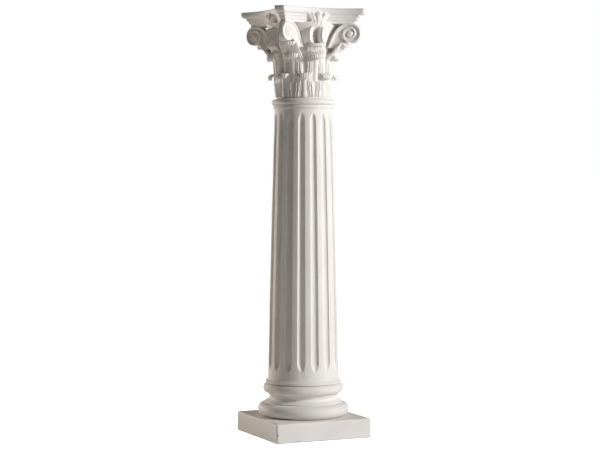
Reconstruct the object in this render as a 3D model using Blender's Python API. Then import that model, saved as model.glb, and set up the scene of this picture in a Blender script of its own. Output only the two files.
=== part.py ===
"""Display pedestal: square plinth, moulded base, fluted tapering shaft and leafed capital, cast in one piece.

Metres, +Z up. The origin is the middle of the underside. The four sides of the plinth face +X, +Y, -X and -Y.
"""

import math

import bmesh
import bpy
from mathutils import Matrix, Vector

# Whole pedestal
TOTAL_HEIGHT = 0.914
CAPITAL_HEIGHT = 0.1905
SIDES = 4
EMBED = 0.003  # how deep one form runs into the next, so that they fuse

# Plinth
PLINTH_SIDE = 0.220
PLINTH_HEIGHT = 0.042
PLINTH_EDGE_RADIUS = 0.0025
PLINTH_EDGE_STEPS = 2

# Base mouldings, from the plinth up. A reach is a moulding's greatest radius.
LOWER_TORUS_HEIGHT = 0.029
LOWER_TORUS_REACH = 0.0985
LOWER_FILLET_HEIGHT = 0.003
LOWER_FILLET_RADIUS = 0.0835
SCOTIA_HEIGHT = 0.014
SCOTIA_RADIUS = 0.0735
UPPER_FILLET_HEIGHT = 0.003
UPPER_FILLET_RADIUS = 0.0755
UPPER_TORUS_HEIGHT = 0.023
UPPER_TORUS_REACH = 0.0868
TOP_FILLET_HEIGHT = 0.005
TOP_FILLET_RADIUS = 0.0815
BASE_COLUMNS = 32
TORUS_STEPS = 5
SCOTIA_STEPS = 3

# Shaft
SHAFT_FOOT_RADIUS = 0.0765
SHAFT_NECK_RADIUS = 0.0618
SHAFT_SWELL = 0.0009  # how far the middle stands out from a straight taper
FOOT_FLARE = 0.0035
FOOT_FLARE_HEIGHT = 0.008
NECK_FLARE = 0.0015
NECK_FLARE_HEIGHT = 0.006

# Flutes
FLUTE_COUNT = 16
FLUTE_ARC = math.radians(13.4)
FLUTE_DEPTH = 0.0055
FLUTE_TURN = math.radians(-4.9)  # first flute from the +X direction
FLUTE_START = 0.021  # above the base mouldings
FLUTE_END = 0.009  # below the neck fillet
FLUTE_TAPER = 0.024  # length of each pointed end
FLUTE_TIP_SHARE = 0.3  # where along that length the tip's rounding is broken by one more ring
FLUTE_PLACES = (-0.5, -0.22, 0.22, 0.5)  # over a flute's arc

# Neck fillet and bead, under the capital
NECK_FILLET_HEIGHT = 0.0065
NECK_FILLET_RADIUS = 0.0650
BEAD_HEIGHT = 0.013
BEAD_REACH = 0.0685

# Bell of the capital: heights are above the capital's foot
COLLAR_HEIGHT = 0.0085
COLLAR_RADIUS = 0.0564
BELL_FOOT_RADIUS = 0.0540
BELL_WAIST_RADIUS = 0.0580
BELL_WAIST_HEIGHT = 0.100
BELL_LIP_RADIUS = 0.0665
BELL_COLUMNS = 16
BELL_STEPS = 4

# Abacus: the hollow-sided top slab. Radii are to its widest moulding.
ABACUS_HEIGHT = 0.032
ABACUS_CORNER_RADIUS = 0.141
ABACUS_CORNER_HALF_WIDTH = 0.0105
ABACUS_WAIST = 0.0814  # from the axis to the middle of a hollow side
ABACUS_SIDE_STEPS = 5
ABACUS_EDGE = 0.0030
OVOLO_HEIGHT = 0.0135
OVOLO_DEPTH = 0.0110  # depths are at the cut corners
OVOLO_BREAKS = ((0.0, 0.27), (0.14, 0.52), (1.0, 1.0))  # shares of its depth and height
ABACUS_FILLET_HEIGHT = 0.0048
ABACUS_FILLET_STEP = 0.0050
ABACUS_FILLET_SLOPE = 0.0015
ABACUS_BAND_HEIGHT = 0.0060
ABACUS_BAND_STEP = 0.0050
ABACUS_SIDE_SHARE = 0.48  # how much of those depths the hollow sides have
ABACUS_HALVINGS = 40  # of the search for the end of a hollow side

# Leaves. A root and a crown are (radius, height above the capital's foot) points in the middle of the
# thickness: the blade runs from one to the other, and rolls outward over its crown.
LEAVES_IN_ROW = 8
LEAF_GAP = 0.0014  # between neighbours in a row
LEAF_THICKNESS = 0.005
LEAF_RIB = 0.0022
LEAF_EDGE_DROP = 0.0045
LEAF_NARROWING = 0.72  # share of its width that the roll loses by its tip
LOWER_LEAF_ROOT = (0.0560, 0.0040)
LOWER_LEAF_CROWN = (0.0600, 0.0455)
LOWER_LEAF_ROLL = 0.0070
UPPER_LEAF_ROOT = (0.0580, 0.0360)
UPPER_LEAF_CROWN = (0.0645, 0.0890)
UPPER_LEAF_ROLL = 0.0085
ROW_LEAF_TURN = math.radians(215.0)
ROW_LEAF_STEPS = 4
RIBBED = ((-1.0, 0.0), (-0.5, -0.35), (0.0, 1.0), (0.5, -0.35), (1.0, 0.0))  # (place, rib) across the face

# Small leaves under the scrolls
CORNER_LEAF_ROOT = (0.0560, 0.0880)
CORNER_LEAF_CROWN = (0.0980, 0.1145)
CORNER_LEAF_ROLL = 0.0055
CORNER_LEAF_TURN = math.radians(120.0)
MIDDLE_LEAF_ROOT = (0.0580, 0.0850)
MIDDLE_LEAF_CROWN = (0.0720, 0.1120)
MIDDLE_LEAF_ROLL = 0.0050
MIDDLE_LEAF_TURN = math.radians(165.0)
SMALL_LEAF_STEPS = 3
PLAIN = ((-1.0, 0.0), (0.0, 1.0), (1.0, 0.0))

# Corner scrolls: wedges that stand on the diagonals, seen from the side as (distance, height) points
SCROLL_EYE_DISTANCE = 0.1105
SCROLL_EYE_HEIGHT = 0.1375
SCROLL_TOP_RADIUS = 0.0225
SCROLL_INNER_RADIUS = 0.0175
SCROLL_OUTER_SHARE = 0.625  # how far the whorl has opened where it points outward
SCROLL_STEPS = 9
STEM_ROOT = (0.062, 0.108)
STEM_ROOT_WIDTH = 0.022
STEM_STEPS = 3
STEM_TOP_BEND = (-0.020, 0.0)  # from the top of the whorl
STEM_ROOT_BEND = (0.018, 0.026)  # from the root
SCROLL_RIDGE_HALF_WIDTH = 0.0057
SCROLL_FLARE = math.tan(math.radians(15.0))
SCROLL_RIM = 0.0042
SCROLL_RIM_SLOPE = 0.0008
SCROLL_RECESS = 0.0032
SCROLL_BUTTON_RADIUS = 0.0068
SCROLL_BUTTON_SIDES = 6

# Inner scrolls: a pair under the middle of each side, with their faces turned towards each other
CURL_OFFSET = 0.0150
CURL_DISTANCE = 0.0738
CURL_HEIGHT = 0.1355
CURL_RADIUS = 0.0168
CURL_TAIL = 0.0075  # how far the lower outer edge runs out of the round
CURL_TAIL_ANGLE = math.radians(-65.0)
CURL_TURN = math.radians(30.0)
CURL_LENGTH = 0.030
CURL_SIDES = 10
CURL_RIM = 0.0036
CURL_RIM_SLOPE = 0.0008
CURL_RECESS = 0.0022

# Flower on the middle of each side of the abacus
FLOWER_DISTANCE = 0.0700
FLOWER_BELOW_TOP = 0.0200
BUD_HALF_SIZES = (0.0165, 0.0160, 0.0175)
BUD_COLUMNS = 7
BUD_ROWS = 5
PETAL_HALF_SIZES = (0.0070, 0.0125, 0.0135)
PETAL_COLUMNS = 6
PETAL_ROWS = 3
PETAL_OFFSET = 0.0210
PETAL_OUT = 0.0035
PETAL_TURN = math.radians(20.0)

PLASTER_COLOR = (0.86, 0.85, 0.83, 1.0)
PLASTER_ROUGHNESS = 0.6
SMOOTH_ANGLE = math.radians(32.0)

# Levels that follow from the sizes above
BASE_TOP = (PLINTH_HEIGHT + LOWER_TORUS_HEIGHT + LOWER_FILLET_HEIGHT + SCOTIA_HEIGHT
            + UPPER_FILLET_HEIGHT + UPPER_TORUS_HEIGHT + TOP_FILLET_HEIGHT)
CAPITAL_FOOT = TOTAL_HEIGHT - CAPITAL_HEIGHT
NECK_LEVEL = CAPITAL_FOOT - BEAD_HEIGHT - NECK_FILLET_HEIGHT
ABACUS_UNDERSIDE = TOTAL_HEIGHT - ABACUS_HEIGHT


def clear_scene():
    """Remove whatever the scene holds."""
    for item in list(bpy.data.objects):
        bpy.data.objects.remove(item, do_unlink=True)


def blend(start, end, share):
    """Return the value that lies the given share of the way from start to end."""
    return start + (end - start) * share


def object_from(name, points, faces):
    """Return a mesh object of one or more closed bodies, with their faces pointing out."""
    mesh = bpy.data.meshes.new(name)
    work = bmesh.new()
    corners = [work.verts.new(point) for point in points]
    for face in faces:
        work.faces.new([corners[index] for index in face])
    bmesh.ops.recalc_face_normals(work, faces=work.faces)
    work.to_mesh(mesh)
    work.free()
    body = bpy.data.objects.new(name, mesh)
    bpy.context.scene.collection.objects.link(body)
    return body


def stack_all(name, stacks):
    """Return an object of bodies whose skins run through stacks of equal loops, with a flat cap at each end."""
    points = []
    faces = []
    for loops in stacks:
        start = len(points)
        count = len(loops[0])
        points += [point for loop in loops for point in loop]
        for row in range(len(loops) - 1):
            first = start + row * count
            for column in range(count):
                following = (column + 1) % count
                faces.append((first + column, first + following,
                              first + count + following, first + count + column))
        faces.append(tuple(reversed(range(start, start + count))))
        faces.append(tuple(range(len(points) - count, len(points))))
    return object_from(name, points, faces)


def turned(name, profile, columns):
    """Return a solid of revolution from (radius, height) points, bottom to top."""
    loops = []
    for radius, height in profile:
        loop = []
        for column in range(columns):
            angle = 2.0 * math.pi * column / columns
            loop.append((radius * math.cos(angle), radius * math.sin(angle), height))
        loops.append(loop)
    return stack_all(name, [loops])


def half_round(reach, foot, height, steps):
    """Return the (radius, height) points of a half-round moulding, bottom to top."""
    radius = height / 2.0
    points = []
    for step in range(steps + 1):
        angle = math.pi * (step / steps - 0.5)
        points.append((reach - radius + radius * math.cos(angle), foot + radius + radius * math.sin(angle)))
    return points


def plinth():
    """Return the square slab, with its edges eased."""
    half = PLINTH_SIDE / 2.0
    corners = [(-half, -half), (half, -half), (half, half), (-half, half)]
    loops = [[(x, y, level) for x, y in corners] for level in (0.0, PLINTH_HEIGHT)]
    slab = stack_all("plinth", [loops])
    easing = slab.modifiers.new("eased edges", "BEVEL")
    easing.width = PLINTH_EDGE_RADIUS
    easing.segments = PLINTH_EDGE_STEPS
    return slab


def base_mouldings():
    """Return the two toruses, the hollow between them and their fillets, as one turned solid."""
    level = PLINTH_HEIGHT
    profile = [(LOWER_TORUS_REACH - LOWER_TORUS_HEIGHT / 2.0, level - EMBED)]
    profile += half_round(LOWER_TORUS_REACH, level, LOWER_TORUS_HEIGHT, TORUS_STEPS)
    level += LOWER_TORUS_HEIGHT
    profile.append((LOWER_FILLET_RADIUS, level))
    level += LOWER_FILLET_HEIGHT
    hollow = (LOWER_FILLET_RADIUS + UPPER_FILLET_RADIUS) / 2.0 - SCOTIA_RADIUS
    for step in range(SCOTIA_STEPS + 1):
        share = step / SCOTIA_STEPS
        radius = blend(LOWER_FILLET_RADIUS, UPPER_FILLET_RADIUS, share) - hollow * math.sin(math.pi * share)
        profile.append((radius, level + SCOTIA_HEIGHT * share))
    level += SCOTIA_HEIGHT + UPPER_FILLET_HEIGHT
    profile.append((UPPER_FILLET_RADIUS, level))
    profile += half_round(UPPER_TORUS_REACH, level, UPPER_TORUS_HEIGHT, TORUS_STEPS)
    level += UPPER_TORUS_HEIGHT
    profile.append((TOP_FILLET_RADIUS, level))
    profile.append((TOP_FILLET_RADIUS, level + TOP_FILLET_HEIGHT))
    return turned("base_mouldings", profile, BASE_COLUMNS)


def shaft_radius(level):
    """Return the shaft's radius over its fillets at a level between the base and the neck."""
    share = (level - BASE_TOP) / (NECK_LEVEL - BASE_TOP)
    share = min(max(share, 0.0), 1.0)
    radius = blend(SHAFT_FOOT_RADIUS, SHAFT_NECK_RADIUS, share) + SHAFT_SWELL * math.sin(math.pi * share)
    above_foot = (level - BASE_TOP) / FOOT_FLARE_HEIGHT
    below_neck = (NECK_LEVEL - level) / NECK_FLARE_HEIGHT
    radius += FOOT_FLARE * max(0.0, 1.0 - max(above_foot, 0.0)) ** 2
    radius += NECK_FLARE * max(0.0, 1.0 - max(below_neck, 0.0)) ** 2
    return radius


def flute_depth(angle, level):
    """Return how deep a flute cuts at an angle from its middle line."""
    low = BASE_TOP + FLUTE_START
    high = NECK_LEVEL - FLUTE_END
    opening = min(level - low, high - level) / FLUTE_TAPER
    opening = math.sin(0.5 * math.pi * min(max(opening, 0.0), 1.0))
    if opening <= 0.0:
        return 0.0
    across = 2.0 * angle / (FLUTE_ARC * opening)
    return FLUTE_DEPTH * opening * math.sqrt(max(0.0, 1.0 - across * across))


def fluted_shaft():
    """Return the tapering shaft with its flutes, from inside the base to inside the neck."""
    low = BASE_TOP + FLUTE_START
    high = NECK_LEVEL - FLUTE_END
    levels = [BASE_TOP - EMBED, BASE_TOP + 0.4 * FOOT_FLARE_HEIGHT, BASE_TOP + FOOT_FLARE_HEIGHT]
    levels += [low, low + FLUTE_TIP_SHARE * FLUTE_TAPER, low + FLUTE_TAPER, (low + high) / 2.0]
    levels += [high - FLUTE_TAPER, high - FLUTE_TIP_SHARE * FLUTE_TAPER, high, NECK_LEVEL + EMBED]
    loops = []
    for level in levels:
        loop = []
        for flute in range(FLUTE_COUNT):
            for place in FLUTE_PLACES:
                offset = place * FLUTE_ARC
                angle = FLUTE_TURN + 2.0 * math.pi * flute / FLUTE_COUNT + offset
                radius = shaft_radius(level) - flute_depth(offset, level)
                loop.append((radius * math.cos(angle), radius * math.sin(angle), level))
        loops.append(loop)
    return stack_all("fluted_shaft", [loops])


def neck_mouldings():
    """Return the fillet and the bead at the top of the shaft, with the collar over them."""
    bead_foot = NECK_LEVEL + NECK_FILLET_HEIGHT
    profile = [(NECK_FILLET_RADIUS, NECK_LEVEL)]
    profile.append((NECK_FILLET_RADIUS, bead_foot))
    profile += half_round(BEAD_REACH, bead_foot, BEAD_HEIGHT, TORUS_STEPS - 1)[1:]
    profile.append((COLLAR_RADIUS, CAPITAL_FOOT + 0.3 * COLLAR_HEIGHT))
    profile.append((COLLAR_RADIUS, CAPITAL_FOOT + COLLAR_HEIGHT))
    return turned("neck_mouldings", profile, BASE_COLUMNS)


def bell_radius(level):
    """Return the bell's radius at a level of the capital."""
    height = level - CAPITAL_FOOT
    if height < BELL_WAIST_HEIGHT:
        return blend(BELL_FOOT_RADIUS, BELL_WAIST_RADIUS, max(height, 0.0) / BELL_WAIST_HEIGHT)
    share = min((height - BELL_WAIST_HEIGHT) / (ABACUS_UNDERSIDE - CAPITAL_FOOT - BELL_WAIST_HEIGHT), 1.0)
    return blend(BELL_WAIST_RADIUS, BELL_LIP_RADIUS, share ** 2)


def bell():
    """Return the core of the capital, which the leaves stand against."""
    low = CAPITAL_FOOT - EMBED
    high = ABACUS_UNDERSIDE + EMBED
    profile = []
    for step in range(BELL_STEPS + 1):
        level = blend(low, high, step / BELL_STEPS)
        profile.append((bell_radius(level), level))
    return turned("bell", profile, BELL_COLUMNS)


def abacus_outline(corner_inset):
    """Return the plan of the top slab as (x, y) points that run anticlockwise.

    The cut corners are set in by the distance, and the hollow sides by their share of it.
    """
    inset = ABACUS_SIDE_SHARE * corner_inset
    diagonal = ABACUS_CORNER_RADIUS
    half_width = ABACUS_CORNER_HALF_WIDTH
    corner = Vector(((diagonal - half_width) / math.sqrt(2.0), (diagonal + half_width) / math.sqrt(2.0)))
    rise = corner.y - ABACUS_WAIST
    sweep = (corner.x ** 2 + rise ** 2) / (2.0 * rise)
    centre = ABACUS_WAIST + sweep
    low, high = 0.0, corner.x
    for _ in range(ABACUS_HALVINGS):
        middle = (low + high) / 2.0
        out = centre - math.sqrt((sweep + inset) ** 2 - middle ** 2)
        if (middle + out) / math.sqrt(2.0) < diagonal - corner_inset:
            low = middle
        else:
            high = middle
    reach = math.asin(low / (sweep + inset))
    points = []
    for side in range(SIDES):
        turn = Matrix.Rotation(0.5 * math.pi * side, 2)
        for step in range(ABACUS_SIDE_STEPS + 1):
            angle = blend(-reach, reach, step / ABACUS_SIDE_STEPS)
            place = Vector(((sweep + inset) * math.sin(angle), -centre + (sweep + inset) * math.cos(angle)))
            points.append(turn @ place)
    return points


def abacus():
    """Return the hollow-sided top slab with its mouldings."""
    rows = [(ABACUS_EDGE, 0.0)]
    rows += [(inward * OVOLO_DEPTH, down * OVOLO_HEIGHT) for inward, down in OVOLO_BREAKS]
    depth = OVOLO_HEIGHT + ABACUS_FILLET_HEIGHT
    inset = OVOLO_DEPTH
    rows.append((inset, depth))
    inset += ABACUS_FILLET_STEP
    rows.append((inset, depth + ABACUS_FILLET_SLOPE))
    depth += ABACUS_BAND_HEIGHT
    rows.append((inset, depth))
    inset += ABACUS_BAND_STEP
    rows.append((inset, depth + 0.5 * (ABACUS_HEIGHT - depth)))
    rows.append((inset, ABACUS_HEIGHT))
    loops = []
    for inset, below in reversed(rows):
        loops.append([(point.x, point.y, TOTAL_HEIGHT - below) for point in abacus_outline(inset)])
    return stack_all("abacus", [loops])


def leaf_line(root, crown, curl_radius, turn, curl_steps):
    """Return the leaf's middle line, seen from the side, as (radius, height, lean, share of the roll) stations."""
    lean = math.atan2(crown[0] - root[0], crown[1] - root[1])
    stations = [(root[0], root[1], lean, 0.0)]
    centre = (crown[0] + curl_radius * math.cos(lean), crown[1] - curl_radius * math.sin(lean))
    for step in range(curl_steps + 1):
        share = step / curl_steps
        angle = lean + turn * share
        stations.append((centre[0] - curl_radius * math.cos(angle), centre[1] + curl_radius * math.sin(angle),
                         angle, share))
    return stations


def leaf(azimuth, root, crown, curl_radius, turn, half_arc, curl_steps, front):
    """Return the loops of one leaf: a ribbed blade that stands against the bell and rolls over at its top.

    front gives the (place, rib) pairs across the side that faces out below the roll.
    """
    back = [(1.0, 0.0), (0.0, 0.6), (-1.0, 0.0)]
    loops = []
    for radius, height, lean, curl in leaf_line(root, crown, curl_radius, turn, curl_steps):
        width = half_arc * root[0] * (1.0 - LEAF_NARROWING * curl ** 2)
        loop = []
        for side, places in ((1.0, front), (-1.0, back)):
            for place, rib in places:
                shows = curl < 0.2 if side > 0.0 else curl > 0.2
                offset = side * (0.5 * LEAF_THICKNESS + (LEAF_RIB * rib if shows else 0.0))
                drop = LEAF_EDGE_DROP * place * place * min(1.0, 2.0 * curl)
                angle = azimuth + place * width / max(radius, root[0])
                out = radius - drop + offset * math.cos(lean)
                up = CAPITAL_FOOT + height - offset * math.sin(lean)
                loop.append((out * math.cos(angle), out * math.sin(angle), up))
        loops.append(loop)
    return loops


def leaf_row(name, count, first, root, crown, curl_radius, turn, curl_steps, front):
    """Return a row of leaves round the bell, as one object of separate leaves."""
    half_arc = math.pi / LEAVES_IN_ROW - 0.5 * LEAF_GAP / root[0]
    leaves = []
    for index in range(count):
        azimuth = 2.0 * math.pi * (index + first) / count
        leaves.append(leaf(azimuth, root, crown, curl_radius, turn, half_arc, curl_steps, front))
    return stack_all(name, leaves)


def leaf_rows():
    """Return both rows of leaves, and the small leaves that carry the scrolls."""
    return [
        leaf_row("lower_leaves", LEAVES_IN_ROW, 0.5, LOWER_LEAF_ROOT, LOWER_LEAF_CROWN,
                 LOWER_LEAF_ROLL, ROW_LEAF_TURN, ROW_LEAF_STEPS, RIBBED),
        leaf_row("upper_leaves", LEAVES_IN_ROW, 0.0, UPPER_LEAF_ROOT, UPPER_LEAF_CROWN,
                 UPPER_LEAF_ROLL, ROW_LEAF_TURN, ROW_LEAF_STEPS, RIBBED),
        leaf_row("corner_leaves", SIDES, 0.5, CORNER_LEAF_ROOT, CORNER_LEAF_CROWN,
                 CORNER_LEAF_ROLL, CORNER_LEAF_TURN, SMALL_LEAF_STEPS, PLAIN),
        leaf_row("middle_leaves", SIDES, 0.0, MIDDLE_LEAF_ROOT, MIDDLE_LEAF_CROWN,
                 MIDDLE_LEAF_ROLL, MIDDLE_LEAF_TURN, SMALL_LEAF_STEPS, PLAIN),
    ]


def inset_loop(loop, distance):
    """Return a closed (a, b) loop that runs anticlockwise, moved in by a distance."""
    moved = []
    for index, point in enumerate(loop):
        before = (point - loop[index - 1]).normalized()
        after = (loop[(index + 1) % len(loop)] - point).normalized()
        inward = Vector((-before.y - after.y, before.x + after.x)).normalized()
        spread = max(0.5, math.sqrt(0.5 * (1.0 + before.dot(after))))
        moved.append(point + inward * (distance / spread))
    return moved


def scroll_outline():
    """Return the corner scroll seen from the side, as (distance, height) points that run anticlockwise."""
    eye = Vector((SCROLL_EYE_DISTANCE, SCROLL_EYE_HEIGHT))
    points = []
    for step in range(SCROLL_STEPS + 1):
        share = step / SCROLL_STEPS
        angle = math.radians(blend(-150.0, 90.0, share))
        radius = blend(SCROLL_INNER_RADIUS, SCROLL_TOP_RADIUS, share)
        points.append(eye + radius * Vector((math.cos(angle), math.sin(angle))))
    top = points[-1]
    root = Vector(STEM_ROOT)
    top_bend = top + Vector(STEM_TOP_BEND)
    root_bend = root + Vector(STEM_ROOT_BEND)
    for step in range(1, STEM_STEPS + 1):
        share = step / STEM_STEPS
        rest = 1.0 - share
        points.append(top * rest ** 3 + top_bend * 3.0 * rest ** 2 * share
                      + root_bend * 3.0 * rest * share ** 2 + root * share ** 3)
    points.append(root + Vector((STEM_ROOT_WIDTH, 0.0)))
    return points


def placed_along_diagonal(corner, point, sideways):
    """Return the world place of a (distance, height) point on a corner's diagonal, moved sideways."""
    angle = (corner + 0.5) * 0.5 * math.pi
    out = Vector((math.cos(angle), math.sin(angle), 0.0))
    across = Vector((-math.sin(angle), math.cos(angle), 0.0))
    return out * point.x + across * sideways + Vector((0.0, 0.0, CAPITAL_FOOT + point.y))


def scroll_half_width(distance):
    """Return half the corner scroll's thickness, which grows inward from its ridge."""
    ridge = SCROLL_EYE_DISTANCE + blend(SCROLL_INNER_RADIUS, SCROLL_TOP_RADIUS, SCROLL_OUTER_SHARE)
    return SCROLL_RIDGE_HALF_WIDTH + SCROLL_FLARE * max(0.0, ridge - distance)


def corner_scroll(corner):
    """Return the loops of one corner scroll: a wedge with a raised rim and a sunk field on both sides."""
    outline = scroll_outline()
    rim = inset_loop(outline, SCROLL_RIM)
    field = inset_loop(outline, SCROLL_RIM + SCROLL_RIM_SLOPE)
    loops = []
    for side in (-1.0, 1.0):
        rings = [(field, SCROLL_RECESS), (rim, 0.0), (outline, 0.0)]
        if side > 0.0:
            rings.reverse()
        for ring, sunk in rings:
            loops.append([placed_along_diagonal(corner, point, side * (scroll_half_width(point.x) - sunk))
                          for point in ring])
    return loops


def corner_button(corner):
    """Return the loops of the round button that makes both eyes of a corner scroll."""
    eye = Vector((SCROLL_EYE_DISTANCE, SCROLL_EYE_HEIGHT))
    reach = scroll_half_width(eye.x)
    loops = []
    for sideways in (-reach, reach):
        loop = []
        for index in range(SCROLL_BUTTON_SIDES):
            angle = 2.0 * math.pi * index / SCROLL_BUTTON_SIDES
            place = eye + SCROLL_BUTTON_RADIUS * Vector((math.cos(angle), math.sin(angle)))
            loop.append(placed_along_diagonal(corner, place, sideways))
        loops.append(loop)
    return loops


def inner_scroll(side, hand):
    """Return the loops of one inner scroll. hand is -1 for the left one of the pair and 1 for the right one."""
    turn = Matrix.Rotation(0.5 * math.pi * side, 3, "Z")
    facing = Vector((-hand * math.sin(CURL_TURN), -math.cos(CURL_TURN), 0.0))
    along = Vector((hand * math.cos(CURL_TURN), -math.sin(CURL_TURN), 0.0))
    up = Vector((0.0, 0.0, 1.0))
    eye = Vector((hand * CURL_OFFSET, -CURL_DISTANCE, CAPITAL_FOOT + CURL_HEIGHT))

    def ring(radius_loss, depth):
        """Return one ring of the scroll, set in and sunk by the two distances."""
        loop = []
        for index in range(CURL_SIDES):
            angle = 2.0 * math.pi * index / CURL_SIDES
            tail = max(0.0, math.cos(angle - CURL_TAIL_ANGLE)) ** 3
            radius = CURL_RADIUS + CURL_TAIL * tail - radius_loss
            place = eye + along * radius * math.cos(angle) + up * radius * math.sin(angle) - facing * depth
            loop.append(turn @ place)
        return loop

    field = ring(CURL_RIM + CURL_RIM_SLOPE, CURL_RECESS)
    return [field, ring(CURL_RIM, 0.0), ring(0.0, 0.0), ring(0.0, CURL_LENGTH)]


def rounded_form(half_sizes, placing, columns, rows):
    """Return the loops of an egg-shaped body with the given half sizes, put in place by a matrix."""
    loops = []
    for row in range(rows):
        tilt = math.pi * ((row + 0.3) / (rows - 0.4) - 0.5)
        loop = []
        for column in range(columns):
            angle = 2.0 * math.pi * column / columns
            loop.append(placing @ Vector((half_sizes[0] * math.cos(tilt) * math.cos(angle),
                                          half_sizes[1] * math.cos(tilt) * math.sin(angle),
                                          half_sizes[2] * math.sin(tilt))))
        loops.append(loop)
    return loops


def flower(side):
    """Return the loops of the bud and of the two petals on the middle of one side of the abacus."""
    turn = Matrix.Rotation(0.5 * math.pi * side, 4, "Z")
    level = TOTAL_HEIGHT - FLOWER_BELOW_TOP
    bud_place = turn @ Matrix.Translation((FLOWER_DISTANCE, 0.0, level))
    bud = rounded_form(BUD_HALF_SIZES, bud_place, BUD_COLUMNS, BUD_ROWS)
    petals = []
    for hand in (-1.0, 1.0):
        placing = (turn @ Matrix.Translation((FLOWER_DISTANCE + PETAL_OUT, hand * PETAL_OFFSET, level))
                   @ Matrix.Rotation(-hand * PETAL_TURN, 4, "X"))
        petals.append(rounded_form(PETAL_HALF_SIZES, placing, PETAL_COLUMNS, PETAL_ROWS))
    return bud, petals


def carved_forms():
    """Return the scrolls, their eyes and the flowers, each kind as one object of separate bodies."""
    sides = range(SIDES)
    flowers = [flower(side) for side in sides]
    return [
        stack_all("corner_scrolls", [corner_scroll(side) for side in sides]),
        stack_all("corner_buttons", [corner_button(side) for side in sides]),
        stack_all("inner_scrolls", [inner_scroll(side, hand) for side in sides for hand in (-1, 1)]),
        stack_all("buds", [bud for bud, petals in flowers]),
        stack_all("petals", [petal for bud, petals in flowers for petal in petals]),
    ]


def plaster():
    """Return the white plaster finish."""
    material = bpy.data.materials.new("plaster")
    material.use_nodes = True
    shader = material.node_tree.nodes["Principled BSDF"]
    shader.inputs["Base Color"].default_value = PLASTER_COLOR
    shader.inputs["Roughness"].default_value = PLASTER_ROUGHNESS
    shader.inputs["Metallic"].default_value = 0.0
    return material


def main():
    """Build every form and fuse them into the one casting."""
    clear_scene()
    forms = [base_mouldings(), fluted_shaft(), neck_mouldings(), bell(), abacus()]
    forms += leaf_rows() + carved_forms()
    casting = plinth()
    casting.name = "pedestal_casting"
    casting.data.materials.append(plaster())
    for form in forms:
        form.hide_render = True
        form.display_type = "WIRE"
        form.data.shade_smooth()
        form.data.set_sharp_from_angle(angle=SMOOTH_ANGLE)
        fusing = casting.modifiers.new(form.name, "BOOLEAN")
        fusing.operation = "UNION"
        fusing.object = form
        fusing.solver = "EXACT"


main()
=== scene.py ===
"""Display pedestal in white casting plaster: plinth, moulded base, fluted shaft and leafed capital as one."""

import logging
import math
from dataclasses import dataclass, field
from enum import Enum

import bmesh
import bpy
import numpy as np
from mathutils import Matrix, Vector


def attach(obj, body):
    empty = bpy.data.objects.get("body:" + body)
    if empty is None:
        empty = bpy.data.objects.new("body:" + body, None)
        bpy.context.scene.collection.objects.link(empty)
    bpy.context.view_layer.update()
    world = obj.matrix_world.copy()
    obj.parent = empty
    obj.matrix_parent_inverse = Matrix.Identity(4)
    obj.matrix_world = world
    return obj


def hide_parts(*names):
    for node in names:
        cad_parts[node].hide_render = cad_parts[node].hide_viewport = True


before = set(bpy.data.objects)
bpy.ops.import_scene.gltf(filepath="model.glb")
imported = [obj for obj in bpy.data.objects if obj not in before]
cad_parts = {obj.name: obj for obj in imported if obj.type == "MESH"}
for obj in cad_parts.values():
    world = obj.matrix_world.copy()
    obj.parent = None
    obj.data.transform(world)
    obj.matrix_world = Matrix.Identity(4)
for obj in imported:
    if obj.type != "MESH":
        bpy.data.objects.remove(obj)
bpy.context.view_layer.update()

log = logging.getLogger("pedestal")

TOTAL_HEIGHT = 0.914
CAPITAL_HEIGHT = 0.1905
CAPITAL_FOOT = TOTAL_HEIGHT - CAPITAL_HEIGHT
SIDES = 4
EMBED = 0.003  # how deep one form runs into the next, so that they fuse
PIECE_NAME = "pedestal"
NODE_NAME = "pedestal_casting"


class Hand(Enum):
    """The two forms of a mirrored pair."""

    LEFT = -1
    RIGHT = 1


def smooth_step(low: float, high: float, value: np.ndarray) -> np.ndarray:
    """Return 0 below low, 1 above high and an eased rise between them."""
    share = np.clip((value - low) / (high - low), 0.0, 1.0)
    return share * share * (3.0 - 2.0 * share)


def hump(value: np.ndarray, middle: float | np.ndarray, half_width: float | np.ndarray) -> np.ndarray:
    """Return a rounded rise that is 1 at its middle and falls off over its half width."""
    return np.exp(-(((value - middle) / half_width) ** 2))


def linked(name: str, data: bpy.types.ID) -> bpy.types.Object:
    """Return a new object that holds the data, linked to the scene."""
    body = bpy.data.objects.new(name, data)
    bpy.context.scene.collection.objects.link(body)
    return body


class Clay:
    """Closed bodies that are gathered into one mesh before they are cast."""

    def __init__(self) -> None:
        """Start with nothing gathered."""
        self.points: list[np.ndarray] = []
        self.faces: list[tuple[int, ...]] = []
        self.count = 0

    def add_stack(self, loops: np.ndarray) -> None:
        """Add the body whose skin runs through a stack of equal loops, with a flat cap at each end.

        Args:
            loops: Points as (rows, columns, 3). The columns of a row close on themselves.
        """
        rows, columns = loops.shape[:2]
        index = np.arange(rows * columns).reshape(rows, columns) + self.count
        following = np.roll(index, -1, axis=1)
        quads = np.stack([index[:-1], following[:-1], following[1:], index[1:]], axis=-1).reshape(-1, 4)
        self.faces.extend(map(tuple, quads.tolist()))
        self.faces.append(tuple(index[0][::-1].tolist()))
        self.faces.append(tuple(index[-1].tolist()))
        self.points.append(loops.reshape(-1, 3))
        self.count += rows * columns

    def to_object(self, name: str) -> bpy.types.Object:
        """Make the gathered bodies into one object.

        Args:
            name: Name of the object and of its mesh.

        Returns:
            The new object, linked to the scene, with its faces pointing out.
        """
        mesh = bpy.data.meshes.new(name)
        mesh.from_pydata(np.concatenate(self.points).tolist(), [], self.faces)
        work = bmesh.new()
        work.from_mesh(mesh)
        bmesh.ops.recalc_face_normals(work, faces=work.faces)
        work.to_mesh(mesh)
        work.free()
        return linked(name, mesh)


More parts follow.
